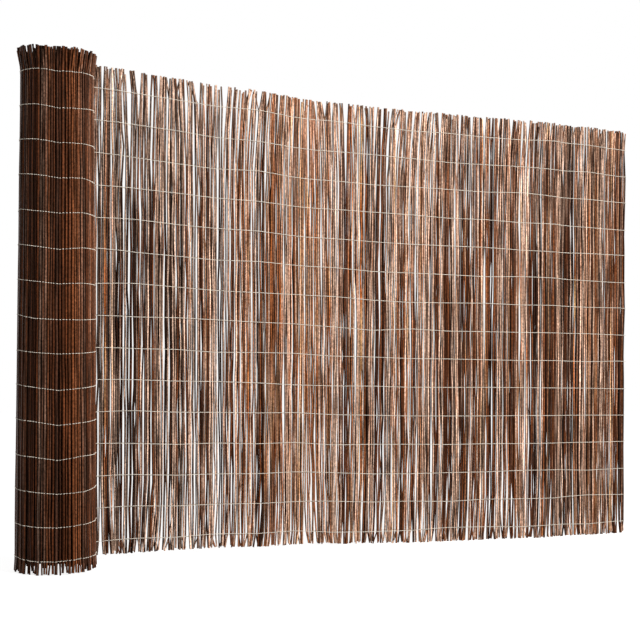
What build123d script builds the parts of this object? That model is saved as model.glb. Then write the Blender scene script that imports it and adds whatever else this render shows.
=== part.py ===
"""Willow screening: upright willow rods bound into a mat by rows of wire, part rolled up, part run out.

The origin is on the roll's axis at floor level. The mat leaves the back of the roll and runs along +X.
"""

import os
from math import acos, atan2, ceil, cos, degrees, hypot, pi, radians, sin

from build123d import *

# Driving dimensions, in millimetres and degrees
mat_height = 1500.0
rod_widths = (12.6, 13.6, 14.6)
rod_bite = 1.4
rod_sides = 6
rod_trims = (0.0, 0.0, 0.0, 6.0, 12.0)

roll_radius = 111.0
turn_clearance = 0.4
seam_turns = 2.0
seam_steps = 24
seam_width = 2.0
seam_depth = 5.0

gap_width = 4.4
gap_lengths = (460.0, 680.0, 900.0)
gap_margin = 60.0
gap_share_at_roll = 0.66
gap_share_at_end = 0.38

wire_rows = 15
wire_below = 45.0
wire_above = 69.0
wire_thickness = 1.6
wire_clearance = 0.3
wire_steps = 12
crook_opening = 35.0
crook_depth = 70.0

# Folds of the mat after it leaves the roll, seen from above: the point where each flat run ends
fold_points = (
    (225.0, 142.0),
    (560.0, 198.0),
    (720.0, 190.0),
    (915.0, 224.0),
    (1040.0, 204.0),
    (1825.0, 126.0),
    (1905.0, 142.0),
    (1995.0, 132.0),
    (2180.0, 141.0),
)

# Spacings that give an even scatter which is the same at every build
width_scatter = 0.618034
trim_scatter = 0.754878
gap_scatter = 0.569840

rod_pitch = sum(rod_widths) / len(rod_widths) - rod_bite
mat_thickness = max(rod_widths) * cos(pi / rod_sides)
turn_pitch = mat_thickness + turn_clearance
roll_gap = (max(rod_widths) + rod_bite) / 2 + turn_clearance
strand_offset = mat_thickness / 2 + wire_clearance + wire_thickness / 2
wire_pitch = (mat_height - wire_below - wire_above) / (wire_rows - 1)
wire_step = (360 - crook_opening) / wire_steps

# The mat leaves the roll on a tangent towards its first fold
first_x, first_y = fold_points[0]
leave_angle = degrees(atan2(first_y, first_x) + acos(roll_radius / hypot(first_x, first_y)))


def pick(choices, index, scatter):
    """One of the choices for the piece with this number."""
    return choices[int(index * scatter % 1.0 * len(choices))]


def on_turn(turned, outward=0.0):
    """Point beside the mat's middle on the roll, so many degrees in from where the mat leaves it."""
    radius = roll_radius + outward - turn_pitch * turned / 360
    angle = radians(leave_angle + turned)
    return Vector(radius * cos(angle), radius * sin(angle))


def beside(points, distance):
    """A line moved sideways to its left, with mitred corners."""
    runs = [(end - start).normalized() for start, end in zip(points, points[1:])]
    lefts = [run.rotate(Axis.Z, 90) for run in (runs[0], *runs, runs[-1])]
    corners = zip(points, lefts, lefts[1:])
    return [point + (a + b) * (distance / (1 + a.dot(b))) for point, a, b in corners]


def band(points, width):
    """Outline of a strip of even width along a line."""
    return Polyline(*beside(points, width / 2), *reversed(beside(points, -width / 2)), close=True)


os.makedirs("parts", exist_ok=True)

# The mat's line on the floor, from the outer turn of the roll to the free end
mat_points = [on_turn(0), *[Vector(x, y) for x, y in fold_points]]
first_run = (mat_points[1] - mat_points[0]).normalized()
last_run = (mat_points[-1] - mat_points[-2]).normalized()
run_starts = [mat_points[0] + first_run * roll_gap, *mat_points[1:-1]]

# Rods fill each flat run side by side, every one biting a little into the next
rods = []
widths = []
shares = []
valleys = []
for start, end in zip(run_starts, mat_points[1:]):
    run = end - start
    heading = (0, 0, degrees(atan2(run.Y, run.X)))
    count = ceil(run.length / rod_pitch)
    own_widths = [pick(rod_widths, len(rods) + i, width_scatter) for i in range(count)]
    bite = (sum(own_widths) - run.length) / count
    reach = 0.0
    for width in own_widths:
        rods.append(Location(start + run.normalized() * (reach + (width - bite) / 2), heading))
        widths.append(width)
        shares.append(width - bite)
        reach += width - bite
        valleys.append(Location(start + run.normalized() * reach, heading))

with BuildPart() as run_out_mat:
    with BuildSketch():
        for width in rod_widths:
            with Locations(*[rod for rod, own in zip(rods, widths) if own == width]):
                RegularPolygon(width / 2, rod_sides)
    extrude(amount=mat_height)
    # The rods' upper ends are cut unevenly
    for trim in sorted(set(rod_trims) - {0.0}):
        with BuildSketch(Plane.XY.offset(mat_height)):
            for i, rod in enumerate(rods):
                if pick(rod_trims, i, trim_scatter) == trim:
                    with Locations(rod):
                        Rectangle(shares[i], 2 * mat_thickness)
        extrude(amount=-trim, mode=Mode.SUBTRACT)
    # Slits of light where neighbouring rods bow apart, more of them near the roll
    for length in gap_lengths:
        slits = []
        for i, valley in enumerate(valleys[:-1]):
            share = gap_share_at_roll + (gap_share_at_end - gap_share_at_roll) * i / len(valleys)
            if i * gap_scatter % 1.0 < share and pick(gap_lengths, i, width_scatter) == length:
                spare = mat_height - 2 * gap_margin - length
                middle = gap_margin + length / 2 + i * trim_scatter % 1.0 * spare
                slits.append(Plane(valley * Location((0, 0, middle), (90, 0, 0))))
        with BuildSketch(*slits):
            with BuildLine():
                Polyline((-gap_width / 2, 0), (0, -length / 2), (gap_width / 2, 0), (0, length / 2), close=True)
            make_face()
        extrude(amount=mat_thickness, both=True, mode=Mode.SUBTRACT)
run_out_mat.part.label = "run_out_mat"
export_step(run_out_mat.part, "parts/run_out_mat.step")

# The roll is its outer turn of rods round the turns inside, with the seam between turns on both ends
turn_rods = round(2 * pi * roll_radius / rod_pitch)
turn_places = [360 * i / turn_rods for i in range(turn_rods)]
seam_places = [360 + 360 * seam_turns * i / seam_steps for i in range(seam_steps + 1)]
with BuildPart() as rolled_mat:
    with BuildSketch():
        with BuildLine():
            Polyline(*[on_turn(turned) for turned in turn_places], close=True)
        make_face()
        for i, turned in enumerate(turn_places):
            with Locations(Location(on_turn(turned), (0, 0, leave_angle + turned + 90))):
                RegularPolygon(pick(rod_widths, i, width_scatter) / 2, rod_sides)
    extrude(amount=mat_height)
    for level, depth in ((0, seam_depth), (mat_height, -seam_depth)):
        with BuildSketch(Plane.XY.offset(level)):
            with BuildLine():
                band([on_turn(turned, turn_pitch / 2) for turned in seam_places], seam_width)
            make_face()
        extrude(amount=depth, mode=Mode.SUBTRACT)
rolled_mat.part.label = "rolled_mat"
export_step(rolled_mat.part, "parts/rolled_mat.step")

# Each binding wire comes round the outside of the roll, runs along the back of the mat, turns
# round the last rod and returns along the front into the crook between mat and roll
over_roll = (roll_radius + strand_offset) / cos(radians(wire_step / 2)) - roll_radius
turn_back = mat_points[-1] + last_run * (rod_bite + wire_clearance + wire_thickness / 2)
crook = mat_points[0] + first_run * crook_depth
round_roll = [on_turn(wire_step * (i + 0.5), over_roll) for i in reversed(range(wire_steps))]
along_back = beside([*mat_points[:-1], turn_back], strand_offset)
along_front = beside([crook, *mat_points[1:-1], turn_back], -strand_offset)
for row in range(wire_rows):
    height = wire_below + wire_pitch * row
    with BuildPart() as binding_wire:
        with BuildSketch(Plane.XY.offset(height - wire_thickness / 2)):
            with BuildLine():
                band([*round_roll, *along_back, *reversed(along_front)], wire_thickness)
            make_face()
        extrude(amount=wire_thickness)
    binding_wire.part.label = f"binding_wire_{row + 1:02d}"
    export_step(binding_wire.part, f"parts/{binding_wire.part.label}.step")
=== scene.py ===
import math

import bpy
import numpy as np
from mathutils import Matrix, Vector


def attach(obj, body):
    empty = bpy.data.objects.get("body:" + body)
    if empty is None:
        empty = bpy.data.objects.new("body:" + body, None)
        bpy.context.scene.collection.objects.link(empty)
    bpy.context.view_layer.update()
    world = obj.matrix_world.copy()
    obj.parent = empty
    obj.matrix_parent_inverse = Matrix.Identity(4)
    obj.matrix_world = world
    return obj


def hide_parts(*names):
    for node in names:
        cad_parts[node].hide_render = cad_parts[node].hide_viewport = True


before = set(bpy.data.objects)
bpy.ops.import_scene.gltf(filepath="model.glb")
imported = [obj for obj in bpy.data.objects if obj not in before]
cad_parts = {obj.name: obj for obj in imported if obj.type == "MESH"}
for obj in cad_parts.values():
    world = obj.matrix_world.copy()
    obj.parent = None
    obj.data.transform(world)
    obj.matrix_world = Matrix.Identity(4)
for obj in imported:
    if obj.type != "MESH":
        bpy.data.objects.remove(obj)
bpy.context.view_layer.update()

# The stretch of mat that is run out: some hundreds of brown willow rods, cut with the bark on and
# stood upright, a full row with a looser row behind it. Only the binding wires hold them, so they
# lean, bow apart into slits of light, and bunch past the outer wires. Lengths are in metres.
MAT_HEIGHT = 1.500
ROLL_RADIUS = 0.111
WIRE_ROWS = 15
LOWEST_WIRE = 0.045
TOP_WIRE = 1.431
FOLDS = [(0.225, 0.142), (0.560, 0.198), (0.720, 0.190), (0.915, 0.224), (1.040, 0.204),
         (1.825, 0.126), (1.905, 0.142), (1.995, 0.132), (2.180, 0.141)]
FOLD_SOFTNESS = 0.090
LINE_STEP = 0.001
MAT_CREEP_AT = [0.0, 0.12, 0.24, 0.58, 0.94, 1.30]
MAT_CREEP = [0.0, 0.018, 0.020, 0.016, 0.009, 0.0]
SEED = 31

rng = np.random.default_rng(SEED)
wire_heights = np.linspace(LOWEST_WIRE, TOP_WIRE, WIRE_ROWS)
rod_levels = np.array([0.0, *wire_heights, MAT_HEIGHT])
from_middle = rod_levels / MAT_HEIGHT - 0.5
leave_angle = math.atan2(FOLDS[0][1], FOLDS[0][0]) + math.acos(ROLL_RADIUS / math.hypot(*FOLDS[0]))
leave_point = (ROLL_RADIUS * math.cos(leave_angle), ROLL_RADIUS * math.sin(leave_angle))
mat_corners = np.array([leave_point, *FOLDS])
corner_reach = np.concatenate([[0], np.cumsum(np.linalg.norm(np.diff(mat_corners, axis=0), axis=1))])
mat_length = corner_reach[-1]


def soften(corners, reach, softness, step):
    """A line through the corners, sampled evenly and bent softly where it turns."""
    samples = np.arange(-softness, reach[-1] + softness, step)
    line = np.stack([np.interp(samples, reach, corners[:, k]) for k in (0, 1)], 1)
    first, last = corners[1] - corners[0], corners[-1] - corners[-2]
    before, after = samples < 0, samples > reach[-1]
    line[before] = corners[0] + samples[before, None] * first / np.linalg.norm(first)
    line[after] = corners[-1] + (samples[after, None] - reach[-1]) * last / np.linalg.norm(last)
    half = int(softness / step / 2)
    window = np.hanning(2 * half + 1)
    window /= window.sum()
    soft = np.stack([np.convolve(line[:, k], window, mode="valid") for k in (0, 1)], 1)
    return samples[half:-half], soft


mat_reach, mat_line = soften(mat_corners, corner_reach, FOLD_SOFTNESS, LINE_STEP)
mat_way = np.gradient(mat_line, axis=0)
mat_way /= np.linalg.norm(mat_way, axis=1)[:, None]


def beside_mat(reach, outward):
    """Floor points at a distance along the mat, moved towards its back."""
    x, y = [np.interp(reach, mat_reach, mat_line[:, k]) for k in (0, 1)]
    way_x, way_y = [np.interp(reach, mat_reach, mat_way[:, k]) for k in (0, 1)]
    return x - way_y * outward, y + way_x * outward


def mat_rise(reach):
    """How far the mat has crept up near the roll, where it was pulled off a little askew."""
    return np.interp(reach, MAT_CREEP_AT, MAT_CREEP)


# Slits of light lie where the solid has them, between two of its ridges: fewer towards the free end
RIDGE_WIDTHS = (0.0126, 0.0136, 0.0146)
RIDGE_PITCH = 0.0122
ROLL_GAP = 0.0084
SLIT_WIDTH = 0.0044
SLIT_LENGTHS = (0.460, 0.680, 0.900)
SLIT_MARGIN = 0.060
SLIT_SHARE_AT_ROLL = 0.66
SLIT_SHARE_AT_END = 0.38
WIDTH_SCATTER = 0.618034
HEIGHT_SCATTER = 0.754878
SLIT_SCATTER = 0.569840
WIRE_PINCH = (0.2, 1.2)  # how far a slit opens at a wire, as a share


def pick(choices, index, scatter):
    """One of the choices for the ridge or slit with this number."""
    return choices[int(index * scatter % 1.0 * len(choices))]


valleys = []
for start, end in zip([ROLL_GAP, *corner_reach[1:]], corner_reach[1:]):
    count = math.ceil((end - start) / RIDGE_PITCH)
    widths = np.array([pick(RIDGE_WIDTHS, len(valleys) + i, WIDTH_SCATTER) for i in range(count)])
    valleys.extend(start + np.cumsum(widths + (end - start - widths.sum()) / count))
slits = []
for i, valley in enumerate(valleys[:-1]):
    share = SLIT_SHARE_AT_ROLL + (SLIT_SHARE_AT_END - SLIT_SHARE_AT_ROLL) * i / len(valleys)
    if i * SLIT_SCATTER % 1.0 < share:
        length = pick(SLIT_LENGTHS, i, WIDTH_SCATTER)
        freedom = MAT_HEIGHT - 2 * SLIT_MARGIN - length
        middle = SLIT_MARGIN + length / 2 + i * HEIGHT_SCATTER % 1.0 * freedom
        opening = np.clip(1 - np.abs(rod_levels - middle) / (length / 2), 0, None)
        slits.append((valley, opening * rng.uniform(*WIRE_PINCH, len(rod_levels))))


def open_slits(reach, radius, lean):
    """Moves rods aside where the mat has a slit, which leans as they do and is pinched by some wires."""
    for valley, opening in slits:
        side = np.where(reach.mean(1) < valley, -1.0, 1.0)[:, None]
        aside = side * (reach - valley - lean(np.array([valley])))
        needed = np.clip((radius + SLIT_WIDTH / 2) * opening - aside, 0, None)
        reach = reach + side * needed * (opening > 0)
    return reach


# Each rod has its own thickness, taper, bends and ends. Spaces in the front row get narrower and the
# row behind it fuller towards the free end, at the shares of the length that FILL_AT gives.
ROD_THICKNESS = (0.0050, 0.0080)
ROD_TAPER = (0.10, 0.35)  # from end to end, as a share of the thickness
END_THICKNESS = 0.90
MIDDLE_SWELL = 0.16  # added to the share that the ends have
FIRST_ROD = 0.007
FILL_AT = [0.0, 0.30, 0.50, 1.0]
FRONT_SPACE = [0.0019, 0.0016, 0.0014, 0.0013]
BACK_SPACE = 0.0020
BACK_SHARE = [0.47, 0.49, 0.57, 0.76]
EVERY_ROD = 1.0
SPACE_EVENNESS = 5.0
FRONT, BACK = -1, 1
ROW_OFFSET = 0.95  # of a rod's own radius, from the mat's line
ROW_WANDER = 0.0008
MAT_WANDER = 0.0022
KINK_SHARE = 0.8  # sharp bends, next to the soft ones
BUNCH_RODS = (2, 5)  # up to four
BUNCH_PULL = (0.255, 0.85)
PUSH_ROUNDS = 80
PUSH_SHARE = 0.45
SETTLING_ROUNDS = 3
KINK_SHIFT = 0.03
FOOT_UNEVENNESS = 0.004
TOP_UNEVENNESS = 0.005
SHORT_SHARE = 0.12
SHORT_CUT = (0.006, 0.022)
FLOOR_LIFT = 0.0006


def wander(rods, size):
    """How far each rod strays to one side or the other at every level, bending softly."""
    rough = rng.normal(0, size, (rods, len(rod_levels) + 2))
    return 0.25 * rough[:, :-2] + 0.5 * rough[:, 1:-1] + 0.25 * rough[:, 2:]


def bunch(reach, level):
    """Draws rods together in bundles of two to four at one level."""
    start = 0
    while start < len(reach):
        stop = start + rng.integers(*BUNCH_RODS)
        middle = reach[start:stop, level].mean()
        reach[start:stop, level] += (middle - reach[start:stop, level]) * rng.uniform(*BUNCH_PULL)
        start = stop


def keep_apart(reach, radius):
    """Pushes neighbouring rods of one row sideways until they no longer run into each other."""
    for _ in range(PUSH_ROUNDS):
        push = np.clip(radius[:-1] + radius[1:] - np.diff(reach, axis=0), 0, None) * PUSH_SHARE
        reach[:-1] -= push
        reach[1:] += push
    return reach


def stand_row(length, thickness, space, share, side, lean, stray, slit):
    """One row of rods: how far along each stands at every level, how far out, and how thick it is.

    The space between rods and the share of them that is there are one value or change along the row.
    """
    spaces, shares = [np.broadcast_to(value, len(FILL_AT)) for value in (space, share)]
    diameters, starts = [], []
    at = FIRST_ROD
    while at < length - thickness[1]:
        diameter = rng.uniform(*thickness)
        if rng.random() < np.interp(at / length, FILL_AT, shares):
            starts.append(at + diameter / 2)
            diameters.append(diameter)
        mean_space = np.interp(at / length, FILL_AT, spaces)
        at += diameter + rng.gamma(SPACE_EVENNESS, mean_space / SPACE_EVENNESS)
    count = len(starts)
    reach = np.array(starts)[:, None] + wander(count, stray) + lean(np.array(starts))
    reach += rng.normal(0, stray * KINK_SHARE, reach.shape)
    for level in (0, -1):
        bunch(reach, level)
    taper = rng.uniform(*ROD_TAPER, (count, 1)) * np.where(rng.random((count, 1)) < 0.5, 1, -1)
    swell = END_THICKNESS + MIDDLE_SWELL * np.sin(math.pi * rod_levels / MAT_HEIGHT)
    radius = np.array(diameters)[:, None] / 2 * swell * (1 - taper * from_middle)
    for _ in range(SETTLING_ROUNDS):
        reach = keep_apart(reach, radius)
        if slit:
            reach = open_slits(reach, radius, lean)
    outward = side * radius * ROW_OFFSET + wander(count, ROW_WANDER)
    return reach, outward, radius


def rod_heights(rise):
    """Heights of one rod's points: kinks at its own heights, and ends cut a little short."""
    heights = rod_levels.copy()
    heights[2:-2] += rng.uniform(-KINK_SHIFT, KINK_SHIFT, len(heights) - 4)
    heights[0] = abs(rng.normal(0.0, FOOT_UNEVENNESS))
    heights[-1] -= abs(rng.normal(0.0, TOP_UNEVENNESS))
    if rng.random() < SHORT_SHARE:
        heights[-1] -= rng.uniform(*SHORT_CUT)
    return heights + rise + FLOOR_LIFT


# Neighbouring rods lean together, fan out towards both ends and are gathered past the outer wires:
# a pull is a level, counted from the foot or back from the top, and how firmly rods are drawn in there
LEAN_SPOTS = 19
MAT_LEAN = 0.005
TOP_SPLAY = 0.009
FOOT_SPLAY = 0.0063
SPLAY_HEIGHT = 0.28
SPLAY_CURVE = 1.5
BUNDLE_RODS = (3, 7)
BUNDLE_FIRMNESS = (0.5, 1.0)
TOP_PULL = [(-1, 1.0), (-2, 0.5), (-3, 0.2)]
FOOT_PULL = [(0, 0.9), (1, 0.4)]

lean_spots = np.linspace(0, mat_length, LEAN_SPOTS)
lean_sizes = rng.normal(0, MAT_LEAN, LEAN_SPOTS)
top_splay = rng.normal(0, TOP_SPLAY, LEAN_SPOTS)
foot_splay = rng.normal(0, FOOT_SPLAY, LEAN_SPOTS)


def mat_lean(reach):
    """How far rods of the mat stray with their neighbours, over the height and at both ends."""
    near_top = np.clip((rod_levels - MAT_HEIGHT + SPLAY_HEIGHT) / SPLAY_HEIGHT, 0, 1) ** SPLAY_CURVE
    near_foot = np.clip((SPLAY_HEIGHT - rod_levels) / SPLAY_HEIGHT, 0, 1) ** SPLAY_CURVE
    lean = np.interp(reach, lean_spots, lean_sizes)[:, None] * from_middle
    lean = lean + np.interp(reach, lean_spots, top_splay)[:, None] * near_top
    return lean + np.interp(reach, lean_spots, foot_splay)[:, None] * near_foot


def gather_ends(rods, pulls):
    """Draws rods of both rows together in bundles of three to six, in two layers."""
    reach, outward, radius = rods
    order = np.argsort(reach[:, pulls[0][0]])
    start = 0
    while start < len(order):
        bundle = order[start:start + rng.integers(*BUNDLE_RODS)]
        start += len(bundle)
        firmness = rng.uniform(*BUNDLE_FIRMNESS)
        layer = np.where(np.arange(len(bundle)) % 2, ROW_OFFSET, -ROW_OFFSET)
        for level, pull in pulls:
            packed = np.cumsum(radius[bundle, level])
            packed += reach[bundle, level].mean() - packed.mean()
            layered = layer * radius[bundle, level]
            reach[bundle, level] += (packed - reach[bundle, level]) * pull * firmness
            outward[bundle, level] += (layered - outward[bundle, level]) * pull * firmness


front_row, back_row = [
    stand_row(mat_length, ROD_THICKNESS, space, share, side, mat_lean, MAT_WANDER, slit=True)
    for space, share, side in ((FRONT_SPACE, EVERY_ROD, FRONT), (BACK_SPACE, BACK_SHARE, BACK))]
mat_rods = [np.concatenate(pair) for pair in zip(front_row, back_row)]
gather_ends(mat_rods, TOP_PULL)
gather_ends(mat_rods, FOOT_PULL)

# Finishes are built node by node. A Mix node for colours takes them at these inputs and this output,
# and a pattern's scale counts its spots or streaks in a metre.
COLOUR_A, COLOUR_B, MIXED = 6, 7, 2
MM_PER_M = 1000


def add_node(tree, kind, inputs=None, **settings):
    """Adds a node, with its settings, values and links."""
    made = tree.nodes.new(kind)
    for name, value in settings.items():
        setattr(made, name, value)
    for name, value in (inputs or {}).items():
        if isinstance(value, bpy.types.NodeSocket):
            tree.links.new(value, made.inputs[name])
        else:
            made.inputs[name].default_value = value
    return made


def colour(code):
    """Linear colour from an sRGB hex code, by the standard's own formula."""
    channels = [int(code[i:i + 2], 16) / 255 for i in (1, 3, 5)]
    return (*[c / 12.92 if c <= 0.04045 else ((c + 0.055) / 1.055) ** 2.4 for c in channels], 1.0)


def new_finish(name):
    """A material whose tree is still empty, and that tree."""
    finish = bpy.data.materials.new(name)
    finish.use_nodes = True
    finish.node_tree.nodes.clear()
    return finish, finish.node_tree


# Willow bark, dried: thin and smooth with a sheen, from nearly black through mahogany and orange to
# tan, each rod its own colour, with long streaks bleached to a pale pinkish tan where it weathered.
# Each rod gets painted shade down its sides, where its neighbours shade it, and painted light
# across its front. Streaks are drawn coarse enough to show from afar.
BARK_COLOURS = [(0.00, "#170a05"), (0.14, "#2d150b"), (0.30, "#4d2815"),
                (0.46, "#683a20"), (0.60, "#7c4a2d"), (0.72, "#8a6448"),
                (0.80, "#855031"), (0.88, "#935026"), (0.97, "#bd9468")]
BLEACHED = "#e3bda4"
SHEEN = "#c99d80"
STREAK_WIDTH_MM = 2.0
STREAK_LENGTH_MM = 130.0
GRAIN_WIDTH_MM = 5.0
GRAIN_LENGTH_MM = 160.0
MOTTLE_MM = 7.0
PAINTED_SIDE_SHADE = 0.15
PAINTED_FRONT_LIGHT = 1.28

willow_bark, tree = new_finish("willow bark")
place = add_node(tree, "ShaderNodeTexCoord").outputs["Object"]
tone = add_node(tree, "ShaderNodeAttribute", attribute_name="bark_tone").outputs["Fac"]
bleach_share = add_node(tree, "ShaderNodeAttribute", attribute_name="bark_bleach").outputs["Fac"]
ramp = add_node(tree, "ShaderNodeValToRGB", {"Fac": tone})
while len(ramp.color_ramp.elements) < len(BARK_COLOURS):
    ramp.color_ramp.elements.new(0.5)
for stop, (position, code) in zip(ramp.color_ramp.elements, BARK_COLOURS):
    stop.position = position
    stop.color = colour(code)
streak_place = add_node(tree, "ShaderNodeMapping", {
    "Vector": place,
    "Scale": (MM_PER_M / STREAK_WIDTH_MM, MM_PER_M / STREAK_WIDTH_MM, MM_PER_M / STREAK_LENGTH_MM)})
streaks = add_node(tree, "ShaderNodeTexNoise", {
    "Vector": streak_place.outputs["Vector"], "Scale": 1.0, "Detail": 2.0, "Roughness": 0.5})
bleach = add_node(tree, "ShaderNodeMapRange", {
    "Value": streaks.outputs["Fac"],
    "From Min": 0.38, "From Max": 0.60, "To Min": 0.0, "To Max": 0.90})
bleach = add_node(tree, "ShaderNodeMath", {
    0: bleach.outputs["Result"], 1: bleach_share}, operation="MULTIPLY")
weathered = add_node(tree, "ShaderNodeMix", {
    "Factor": bleach.outputs["Value"], COLOUR_A: ramp.outputs["Color"], COLOUR_B: colour(BLEACHED)},
    data_type="RGBA")
mottle = add_node(tree, "ShaderNodeTexNoise", {
    "Vector": place, "Scale": MM_PER_M / MOTTLE_MM, "Detail": 3.0, "Roughness": 0.6})
mottle_level = add_node(tree, "ShaderNodeMapRange", {
    "Value": mottle.outputs["Fac"],
    "From Min": 0.30, "From Max": 0.70, "To Min": 0.45, "To Max": 1.45})
grain_place = add_node(tree, "ShaderNodeMapping", {
    "Vector": place,
    "Scale": (MM_PER_M / GRAIN_WIDTH_MM, MM_PER_M / GRAIN_WIDTH_MM, MM_PER_M / GRAIN_LENGTH_MM)})
grain = add_node(tree, "ShaderNodeTexNoise", {
    "Vector": grain_place.outputs["Vector"], "Scale": 1.0, "Detail": 1.0, "Roughness": 0.5})
grain_level = add_node(tree, "ShaderNodeMapRange", {
    "Value": grain.outputs["Fac"],
    "From Min": 0.30, "From Max": 0.70, "To Min": 0.30, "To Max": 1.70})
tone_and_painted_shade = add_node(tree, "ShaderNodeMath", {
    0: mottle_level.outputs["Result"], 1: grain_level.outputs["Result"]}, operation="MULTIPLY")
# Painted shade down each rod's sides and painted light across its front: the further the surface turns
# from the way the mat or roll faces, the darker the bark is drawn
facing = add_node(tree, "ShaderNodeCombineXYZ", {
    "X": add_node(tree, "ShaderNodeAttribute", attribute_name="face_x").outputs["Fac"],
    "Y": add_node(tree, "ShaderNodeAttribute", attribute_name="face_y").outputs["Fac"]})
outside = add_node(tree, "ShaderNodeNewGeometry").outputs["Normal"]
front_facing = add_node(tree, "ShaderNodeVectorMath", {
    0: outside, 1: facing.outputs["Vector"]}, operation="DOT_PRODUCT")
front_facing = add_node(tree, "ShaderNodeMath", {0: front_facing.outputs["Value"]}, operation="ABSOLUTE")
painted_side_shade = add_node(tree, "ShaderNodeMapRange", {
    "Value": front_facing.outputs["Value"],
    "From Min": 0.42, "From Max": 0.96, "To Min": PAINTED_SIDE_SHADE, "To Max": PAINTED_FRONT_LIGHT})
tone_and_painted_shade = add_node(tree, "ShaderNodeMath", {
    0: tone_and_painted_shade.outputs["Value"], 1: painted_side_shade.outputs["Result"]}, operation="MULTIPLY")
bark = add_node(tree, "ShaderNodeMix", {
    "Factor": 1.0, COLOUR_A: weathered.outputs[MIXED], COLOUR_B: tone_and_painted_shade.outputs["Value"]},
    data_type="RGBA", blend_type="MULTIPLY")
ridge = add_node(tree, "ShaderNodeBump", {
    "Height": streaks.outputs["Fac"], "Strength": 0.3, "Distance": 0.0005})
surface = add_node(tree, "ShaderNodeBsdfPrincipled", {
    "Base Color": bark.outputs[MIXED], "Roughness": 0.40, "Specular IOR Level": 0.16,
    "Specular Tint": colour(SHEEN), "Normal": ridge.outputs["Normal"]})
add_node(tree, "ShaderNodeOutputMaterial", {"Surface": surface.outputs["BSDF"]})

# Cut willow: the matt, pale and slightly yellow wood that shows on the sawn ends
HEARTWOOD = "#6f543c"
SAPWOOD = "#b3946c"
CUT_GRAIN_MM = 1.667

cut_willow, tree = new_finish("cut willow")
place = add_node(tree, "ShaderNodeTexCoord").outputs["Object"]
grain = add_node(tree, "ShaderNodeTexNoise", {
    "Vector": place, "Scale": MM_PER_M / CUT_GRAIN_MM, "Detail": 3.0})
wood = add_node(tree, "ShaderNodeMix", {
    "Factor": grain.outputs["Fac"], COLOUR_A: colour(HEARTWOOD), COLOUR_B: colour(SAPWOOD)},
    data_type="RGBA")
surface = add_node(tree, "ShaderNodeBsdfPrincipled", {
    "Base Color": wood.outputs[MIXED], "Roughness": 0.8, "IOR": 1.45})
add_node(tree, "ShaderNodeOutputMaterial", {"Surface": surface.outputs["BSDF"]})

# Rods and wires are bars swept along lines: a rod has five long sides and a sawn face at each end
ROD_SIDES = 5
END_STEEPNESS = 0.9


def add_object(name, data):
    """A new object in the scene that holds a mesh, a lamp or a lens."""
    made = bpy.data.objects.new(name, data)
    bpy.context.scene.collection.objects.link(made)
    return made


def swept_lines(name, lines, values, sides, skin, end_skin=None):
    """A mesh of round bars along lines of points, each as thick as its points' radius value."""
    mesh = bpy.data.meshes.new(name)
    starts = np.cumsum([0] + [len(line) for line in lines])
    edges = [(i, i + 1) for start, end in zip(starts, starts[1:]) for i in range(start, end - 1)]
    mesh.from_pydata(np.concatenate(lines).tolist(), edges, [])
    for label, numbers in values.items():
        held = mesh.attributes.new(label, "FLOAT", "POINT")
        held.data.foreach_set("value", np.concatenate(numbers).astype(np.float32))
    piece = add_object(name, mesh)
    tree = bpy.data.node_groups.new(f"{name} bars", "GeometryNodeTree")
    tree.interface.new_socket("Lines", in_out="INPUT", socket_type="NodeSocketGeometry")
    side_count = tree.interface.new_socket("Sides", in_out="INPUT", socket_type="NodeSocketInt")
    tree.interface.new_socket("Bars", in_out="OUTPUT", socket_type="NodeSocketGeometry")
    given = add_node(tree, "NodeGroupInput")
    radius = add_node(tree, "GeometryNodeInputNamedAttribute", {"Name": "bar_radius"}, data_type="FLOAT")
    curves = add_node(tree, "GeometryNodeMeshToCurve", {"Mesh": given.outputs["Lines"]})
    section = add_node(tree, "GeometryNodeCurvePrimitiveCircle", {
        "Resolution": given.outputs["Sides"], "Radius": 1.0})
    bars = add_node(tree, "GeometryNodeCurveToMesh", {
        "Curve": curves.outputs["Curve"], "Profile Curve": section.outputs["Curve"],
        "Scale": radius.outputs["Attribute"], "Fill Caps": True})
    whole = add_node(tree, "GeometryNodeRealizeInstances", {"Geometry": bars.outputs["Mesh"]})
    whole = add_node(tree, "GeometryNodeSetMaterial", {
        "Geometry": whole.outputs["Geometry"], "Material": skin})
    if end_skin:
        facing = add_node(tree, "GeometryNodeInputNormal")
        upright = add_node(tree, "ShaderNodeSeparateXYZ", {"Vector": facing.outputs["Normal"]})
        steep = add_node(tree, "ShaderNodeMath", {0: upright.outputs["Z"]}, operation="ABSOLUTE")
        is_end = add_node(tree, "FunctionNodeCompare", {
            0: steep.outputs["Value"], 1: END_STEEPNESS}, operation="GREATER_THAN")
        whole = add_node(tree, "GeometryNodeSetMaterial", {
            "Geometry": whole.outputs["Geometry"], "Selection": is_end.outputs["Result"],
            "Material": end_skin})
    add_node(tree, "NodeGroupOutput", {"Bars": whole.outputs["Geometry"]})
    modifier = piece.modifiers.new("bars", "NODES")
    modifier.node_group = tree
    modifier[side_count.identifier] = sides
    shaped = piece.evaluated_get(bpy.context.evaluated_depsgraph_get())
    piece.data = bpy.data.meshes.new_from_object(shaped)
    piece.modifiers.remove(modifier)
    piece.data.name = name
    # The long sides, with four corners each, are shaded smooth, and the ends flat
    for face in piece.data.polygons:
        face.use_smooth = len(face.vertices) == 4
    return piece
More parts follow.
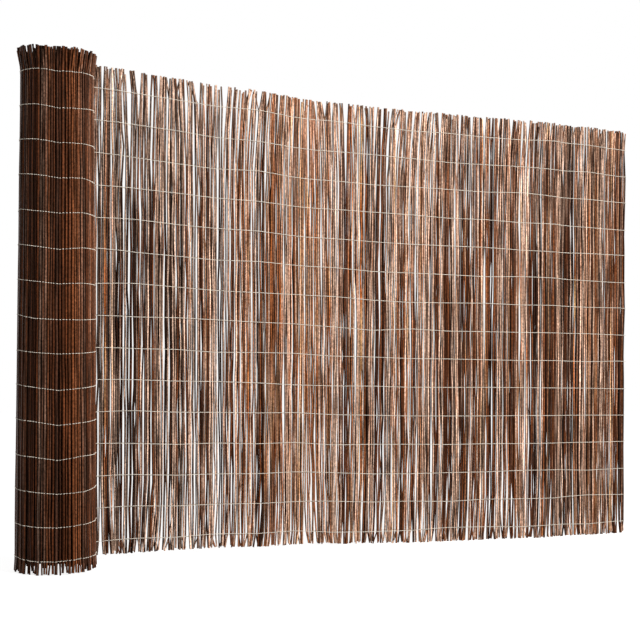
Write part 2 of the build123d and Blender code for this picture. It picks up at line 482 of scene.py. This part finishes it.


# Bark along the run-out mat: bands of orange and mahogany rods between greyer, weathered ones, with
# dark rods next to the roll as painted shade from it. Tones are places in the bark's range of colours,
# and bleach shares say how far its streaks have bleached; over the height these carry painted light
# from above, higher at the top and lower below the middle.
# The first stretch, next to the roll, is dark and unbleached as painted shade from the roll
BARK_STRETCHES = [0.18, 0.21, 0.45, 0.70, 0.80, 0.94, 1.02, 1.15,
                  1.20, 1.30, 1.52, 1.62, 1.72, 1.90, 2.22]
STRETCH_TONE_AND_SHADE = [0.10, 0.20, 0.24, 0.40, 0.62, 0.60, 0.46, 0.40,
                0.34, 0.48, 0.40, 0.30, 0.42, 0.34, 0.30]
STRETCH_AGE_AND_SHADE = [0.30, 0.85, 0.92, 0.93, 0.70, 0.80, 1.05, 0.95,
               0.80, 1.05, 0.95, 0.70, 0.90, 0.75, 0.65]
TONE_RANGE = (0.03, 0.78)
TONE_SPREAD = 0.20
TONE_WANDER = 0.10
DARK_SHARE = 0.10
DARK_TONE = (0.05, 0.18)
ORANGE_SHARE = 0.05
ORANGE_TONE = (0.84, 0.96)
PALE_SHARE = 0.42
PALE_AGE = 0.95
BROWN_AGE = 0.18
AGE_SPREAD = 0.12
AGE_WANDER = 0.35
MIDDLE_AGE = 0.5
OLDEST = 1.1
AGE_LEVELS = [0.0, 0.45, 0.95, 1.40]
LEVEL_CONTRAST = [1.5, 1.5, 1.25, 0.9]
# Painted light from above: streaks are bleached more at the top and less below the middle
LEVEL_PAINTED_LIGHT = [0.00, -0.18, -0.10, 0.20]


def bark_tones(middle, spread):
    """Bark tone of each rod about a middle one, with a few odd rods that are dark, or orange to tan."""
    tones = np.clip(middle + rng.normal(0, spread, len(middle)), *TONE_RANGE)
    odd = rng.random(len(middle))
    tones = np.where(odd < DARK_SHARE, rng.uniform(*DARK_TONE, len(middle)), tones)
    return np.where(odd > 1 - ORANGE_SHARE, rng.uniform(*ORANGE_TONE, len(middle)), tones)


mid_reach = mat_rods[0].mean(1)
tones = bark_tones(np.interp(mid_reach, BARK_STRETCHES, STRETCH_TONE_AND_SHADE), TONE_SPREAD)
tones = np.clip(tones[:, None] + wander(len(tones), TONE_WANDER), 0, 1)
bleach_shares = np.where(rng.random(len(tones)) < PALE_SHARE, PALE_AGE, BROWN_AGE)
bleach_shares = (bleach_shares + rng.normal(0, AGE_SPREAD, len(tones)))[:, None]
bleach_shares = MIDDLE_AGE + (bleach_shares - MIDDLE_AGE) * np.interp(rod_levels, AGE_LEVELS, LEVEL_CONTRAST)
bleach_shares = bleach_shares + np.interp(rod_levels, AGE_LEVELS, LEVEL_PAINTED_LIGHT) + wander(len(tones), AGE_WANDER)
bleach_shares = np.clip(bleach_shares * np.interp(mid_reach, BARK_STRETCHES, STRETCH_AGE_AND_SHADE)[:, None], 0, OLDEST)
lines = [np.stack([*beside_mat(reach, outward), rod_heights(mat_rise(reach.mean()))], 1)
         for reach, outward in zip(mat_rods[0], mat_rods[1])]
# The way the mat faces at each rod, which sets the bark's painted side shade and painted front light
way_x, way_y = [np.interp(mat_rods[0], mat_reach, mat_way[:, k]) for k in (0, 1)]
run_out_rods = swept_lines("run_out_rods", lines, {
    "bar_radius": mat_rods[2], "bark_tone": tones, "bark_bleach": bleach_shares, "face_x": -way_y, "face_y": way_x,
}, ROD_SIDES, willow_bark, cut_willow)
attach(run_out_rods, "root")
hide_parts("run_out_mat")

# The stretch that is still rolled up, its back outwards: the same rods, close together in the outer
# turn and wound up behind it turn on turn, with uneven ends that splay past the outer wires. Its
# bark is darker and redder than that of the mat that is run out and hardly bleached, and it is
# darker still on the flank turned away from the window, as painted shade.
TURN_PITCH = 0.0130
ROLL_ROD = (0.0058, 0.0096)
ROLL_SPACE = 0.0009
ROLL_WANDER = 0.0009
ROLL_LEAN = 0.003
INNER_LAYER_SHARE = 0.96
TAPER_LEVELS = [0.0, 0.05, 0.40, TOP_WIRE, MAT_HEIGHT]
ROLL_TAPER = [0.0060, 0.0040, 0.0005, -0.0080, 0.0010]
ROLL_TOP_SPLAY = (0.001, 0.003)
ROLL_FOOT_SPLAY = (0.0, 0.0015)
FOOT_TUCK = (0.015, 0.045)  # how much higher the feet behind the outer layer are
CREEP_LEVELS = [0.0, LOWEST_WIRE, 0.30, 0.75, 1.18, 1.40, MAT_HEIGHT]
ROLL_CREEP = [(0.00, [0.000, 0.000, 0.001, 0.003, 0.005, 0.006, 0.006]),
              (0.13, [0.000, -0.001, 0.001, 0.006, 0.016, 0.018, 0.016]),
              (0.31, [0.000, -0.004, -0.016, -0.013, -0.006, -0.002, -0.002]),
              (0.48, [0.009, 0.007, 0.004, -0.002, -0.002, 0.007, 0.006]),
              (0.60, [0.004, 0.004, 0.002, 0.000, 0.000, 0.004, 0.004])]
# Tones round the roll, low on the flank turned away from the window as painted shade
ROLL_STRETCHES = [0.0, 0.12, 0.19, 0.26, 0.31, 0.33, 0.55, 0.70]
ROLL_TONE_AND_SHADE = [0.33, 0.38, 0.22, 0.17, 0.18, 0.32, 0.33, 0.33]
ROLL_TONE_SPREAD = 0.07
ROLL_TONE_WANDER = 0.05
ROLL_PALEST = 0.44
ROLL_AGE = (0.02, 0.07)
ROLL_OLDEST = 0.2
FIRST_INNER_TURN = 1.02
INNER_TURNS = 6.0
INNER_ROD = (0.0080, 0.0110)
INNER_SPACE = 0.0006
INNER_STRAY = 0.0012
INNER_SWAY = 0.0015
INNER_TONE = (0.1, 0.6)
INNER_AGE = 0.2


def on_roll(reach, outward):
    """Floor points at a distance round the roll from where the mat leaves it, moved outward."""
    turned = reach / ROLL_RADIUS
    radius = ROLL_RADIUS - TURN_PITCH * turned / (2 * math.pi) + outward
    return radius * np.cos(leave_angle + turned), radius * np.sin(leave_angle + turned)


def roll_lean(reach):
    """Lean of each rod of the roll over its height."""
    return rng.normal(0, ROLL_LEAN, (len(reach), 1)) * from_middle


def roll_rise(reach, height):
    """How far rods and wires at a height have crept up or sagged, at a distance round the roll."""
    creep = [np.interp(height, CREEP_LEVELS, levels) for _, levels in ROLL_CREEP]
    return np.interp(reach, [flank for flank, _ in ROLL_CREEP], creep)


turn_length = 2 * math.pi * ROLL_RADIUS
outer_row, inner_row = [
    stand_row(length, ROLL_ROD, ROLL_SPACE, EVERY_ROD, side, roll_lean, ROLL_WANDER, slit=False)
    for length, side in ((turn_length, BACK), (turn_length * INNER_LAYER_SHARE, FRONT))]
roll_reach, roll_outward, roll_radius = [np.concatenate(pair) for pair in zip(outer_row, inner_row)]
roll_outward = roll_outward + np.interp(rod_levels, TAPER_LEVELS, ROLL_TAPER)
roll_outward[:, -1] += rng.normal(*ROLL_TOP_SPLAY, len(roll_outward))
roll_outward[:, 0] += rng.normal(*ROLL_FOOT_SPLAY, len(roll_outward))
tones = bark_tones(np.interp(roll_reach.mean(1), ROLL_STRETCHES, ROLL_TONE_AND_SHADE), ROLL_TONE_SPREAD)
tones = np.clip(tones[:, None] + wander(len(tones), ROLL_TONE_WANDER), 0, ROLL_PALEST)
bleach_shares = np.clip(rng.normal(*ROLL_AGE, len(tones)), 0, ROLL_OLDEST)
rises = [np.array([roll_rise(reach.mean(), level) for level in rod_levels]) for reach in roll_reach]
lines = [np.stack([*on_roll(reach, outward), rod_heights(rise)], 1)
         for reach, outward, rise in zip(roll_reach, roll_outward, rises)]
for line in lines[len(outer_row[0]):]:
    line[0, 2] += rng.uniform(*FOOT_TUCK)
radii = list(roll_radius)
tones = list(tones)
bleach_shares = [np.full(len(rod_levels), bleach_share) for bleach_share in bleach_shares]
turned = 2 * math.pi * FIRST_INNER_TURN
while turned < 2 * math.pi * INNER_TURNS:
    diameter = rng.uniform(*INNER_ROD)
    x, y = on_roll(turned * ROLL_RADIUS, rng.normal(0, INNER_STRAY))
    heights = rod_heights(0.0)[[0, len(rod_levels) // 2, -1]]
    heights[0] += rng.uniform(*FOOT_TUCK)
    sway = rng.normal(0, INNER_SWAY, (2, len(heights)))
    lines.append(np.stack([x + sway[0], y + sway[1], heights], 1))
    radii.append(np.full(len(heights), diameter / 2))
    tones.append(np.full(len(heights), rng.uniform(*INNER_TONE)))
    bleach_shares.append(np.full(len(heights), INNER_AGE))
    turned += (diameter + INNER_SPACE) / math.hypot(x, y)
# The way each rod of the roll faces, outward from the middle, which sets the bark's painted side shade
# and painted front light
faces = [line[:, :2] / np.linalg.norm(line[:, :2], axis=1)[:, None] for line in lines]
rolled_rods = swept_lines("rolled_rods", lines, {
    "bar_radius": radii, "bark_tone": tones, "bark_bleach": bleach_shares,
    "face_x": [face[:, 0] for face in faces], "face_y": [face[:, 1] for face in faces],
}, ROD_SIDES, willow_bark, cut_willow)
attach(rolled_rods, "root")
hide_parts("rolled_mat")

# Binding wires: thin galvanised wire drawn in between the rods, one row about every tenth of a
# metre. Each comes round the roll, runs along the mat's back, turns at the last rod and returns.
WIRE_RADIUS = 0.0009
WIRE_SIDES = 5
WIRE_STEP = 0.0024
WIRE_RIPPLE = 0.0020
RIPPLE_STEPS = 60
WIRE_START = 0.60  # round the roll
ROLL_GRIP = 1.6  # dips are drawn in deeper on the roll
CROOK = 0.070  # left free on the way back, between mat and roll

# Weathered zinc on drawn steel: matt and pale, with a faint bloom of lighter spots
ZINC = "#d8ccb8"
ZINC_BLOOM = "#f4ecdf"
BLOOM_MM = 7.143

galvanised_wire, tree = new_finish("galvanised wire")
place = add_node(tree, "ShaderNodeTexCoord").outputs["Object"]
bloom = add_node(tree, "ShaderNodeTexNoise", {
    "Vector": place, "Scale": MM_PER_M / BLOOM_MM, "Detail": 2.0})
zinc = add_node(tree, "ShaderNodeMix", {
    "Factor": bloom.outputs["Fac"], COLOUR_A: colour(ZINC), COLOUR_B: colour(ZINC_BLOOM)},
    data_type="RGBA")
surface = add_node(tree, "ShaderNodeBsdfPrincipled", {
    "Base Color": zinc.outputs[MIXED], "Metallic": 0.1, "Roughness": 0.45})
add_node(tree, "ShaderNodeOutputMaterial", {"Surface": surface.outputs["BSDF"]})


def at_height(values, height):
    """Values of each rod at a height between its levels."""
    return np.array([np.interp(height, rod_levels, row) for row in values])


def over_rods(at, reach, outward, radius, ease=1, grip=1.0, between=0.0):
    """How far out a wire lies that is drawn tight over rods: on each crest, and dipping between."""
    gap = (at[:, None] - reach[None, :]) * grip
    crest = outward + np.sqrt(np.clip(radius ** 2 - gap ** 2, 0, None))
    crest = np.where(np.abs(gap) < radius, crest, between).max(1)
    window = np.hanning(2 * ease + 3)
    eased = np.convolve(np.pad(crest, ease + 1, mode="edge"), window / window.sum(), mode="valid")
    return np.maximum(eased, crest) + WIRE_RADIUS


roll_at = np.arange(WIRE_START, 0.0, -WIRE_STEP / 2)
mat_at = np.arange(0.0, mat_length, WIRE_STEP)
way_back = np.flatnonzero(mat_at > CROOK)[::-1]
for row, height in enumerate(wire_heights):
    node = f"binding_wire_{row + 1:02d}"
    drawn_in = np.interp(height, TAPER_LEVELS, ROLL_TAPER)
    reach, outward, radius = [at_height(part, height) for part in outer_row]
    roll_out = over_rods(roll_at, reach, outward + drawn_in, radius,
                         ease=0, grip=ROLL_GRIP, between=drawn_in)
    reach, outward, radius = [at_height(part, height) for part in mat_rods]
    back_out = over_rods(mat_at, reach, outward, radius)
    front_out = -over_rods(mat_at, reach, -outward, radius)
    stretches = [on_roll(roll_at, roll_out),
                 beside_mat(mat_at, back_out),
                 beside_mat(np.array([mat_length + WIRE_RADIUS]), 0.0),
                 beside_mat(mat_at[way_back], front_out[way_back])]
    rises = [roll_rise(roll_at, height), mat_rise(mat_at), [0.0], mat_rise(mat_at[way_back])]
    x, y = [np.concatenate([stretch[k] for stretch in stretches]) for k in (0, 1)]
    knots = np.arange(0, len(x) + RIPPLE_STEPS, RIPPLE_STEPS)
    ripple = np.interp(np.arange(len(x)), knots, rng.normal(0, WIRE_RIPPLE, len(knots)))
    line = np.stack([x, y, height + np.concatenate(rises) + ripple], 1)
    wire = swept_lines(f"{node}_strand", [line], {"bar_radius": [np.full(len(line), WIRE_RADIUS)]},
                       WIRE_SIDES, galvanised_wire)
    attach(wire, "root")
    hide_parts(node)

# The studio: a white floor that keeps the mat's shadow, a plain white background and soft light all
# round, with one tall window to the right of the camera.
FLOOR_REACH = 30
FLOOR_PAINT = "#e7e7e7"
WHITE = "#ffffff"
FLOOR_GLOW = 0.84
ROOM_LIGHT = 0.24
WINDOW_SIZE = (0.7, 2.2)
WINDOW_WATTS = 190
WINDOW_PLACE = (1.7, -3.6, 2.3)
WINDOW_AIM = (0.9, 0.1, 0.75)


def seen_directly(tree):
    """One for what the camera sees, also in glossy surfaces and through clear ones."""
    ray = add_node(tree, "ShaderNodeLightPath").outputs
    seen = add_node(tree, "ShaderNodeMath", {
        0: ray["Is Camera Ray"], 1: ray["Is Glossy Ray"]}, operation="MAXIMUM")
    return add_node(tree, "ShaderNodeMath", {
        0: seen.outputs["Value"], 1: ray["Is Transmission Ray"]}, operation="MAXIMUM").outputs["Value"]


studio_white, tree = new_finish("studio white")
matt = add_node(tree, "ShaderNodeBsdfDiffuse", {"Color": colour(FLOOR_PAINT)})
glow = add_node(tree, "ShaderNodeEmission", {"Color": colour(WHITE), "Strength": FLOOR_GLOW})
both = add_node(tree, "ShaderNodeAddShader", {0: matt.outputs[0], 1: glow.outputs[0]})
mixed = add_node(tree, "ShaderNodeMixShader", {
    0: seen_directly(tree), 1: matt.outputs[0], 2: both.outputs[0]})
add_node(tree, "ShaderNodeOutputMaterial", {"Surface": mixed.outputs[0]})
floor = add_object("floor", bpy.data.meshes.new("floor"))
floor_corners = [(FLOOR_REACH * x, FLOOR_REACH * y, 0) for x, y in ((-1, -1), (1, -1), (1, 1), (-1, 1))]
floor.data.from_pydata(floor_corners, [], [(0, 1, 2, 3)])
floor.data.materials.append(studio_white)

world = bpy.data.worlds.new("studio")
bpy.context.scene.world = world
world.use_nodes = True
tree = world.node_tree
tree.nodes.clear()
dim = add_node(tree, "ShaderNodeBackground", {"Color": colour(WHITE), "Strength": ROOM_LIGHT})
white = add_node(tree, "ShaderNodeBackground", {"Color": colour(WHITE), "Strength": 1.0})
mixed = add_node(tree, "ShaderNodeMixShader", {
    0: seen_directly(tree), 1: dim.outputs[0], 2: white.outputs[0]})
add_node(tree, "ShaderNodeOutputWorld", {"Surface": mixed.outputs[0]})

window = bpy.data.lights.new("window light", "AREA")
window.shape = "RECTANGLE"
window.size, window.size_y = WINDOW_SIZE
window.energy = WINDOW_WATTS
window_light = add_object("window light", window)
window_light.location = WINDOW_PLACE
window_way = Vector(WINDOW_AIM) - window_light.location
window_light.rotation_euler = window_way.to_track_quat("-Z", "Y").to_euler()

# The camera stands where the photograph was taken from. It looks level, with its lens shifted as the
# framing needs, so the rods stay upright in the picture.
PICTURE_PIXELS = 640
FOCAL_PIXELS = 1280
SHIFT_PIXELS = 75
SENSOR_MM = 36.0
CAMERA_PLACE = (-0.911, -3.694, 0.513)
CAMERA_YAW = math.radians(25.46)
CAMERA_ROLL = math.radians(0.14)

lens = bpy.data.cameras.new("camera")
lens.sensor_width = SENSOR_MM
lens.lens = SENSOR_MM * FOCAL_PIXELS / PICTURE_PIXELS
lens.shift_y = SHIFT_PIXELS / PICTURE_PIXELS
camera = add_object("camera", lens)
camera.location = CAMERA_PLACE
turn = Matrix.Rotation(-CAMERA_YAW, 4, "Z") @ Matrix.Rotation(math.pi / 2, 4, "X")
camera.rotation_euler = (turn @ Matrix.Rotation(CAMERA_ROLL, 4, "Z")).to_euler()
bpy.context.scene.camera = camera
bpy.context.scene.view_settings.view_transform = "Standard"
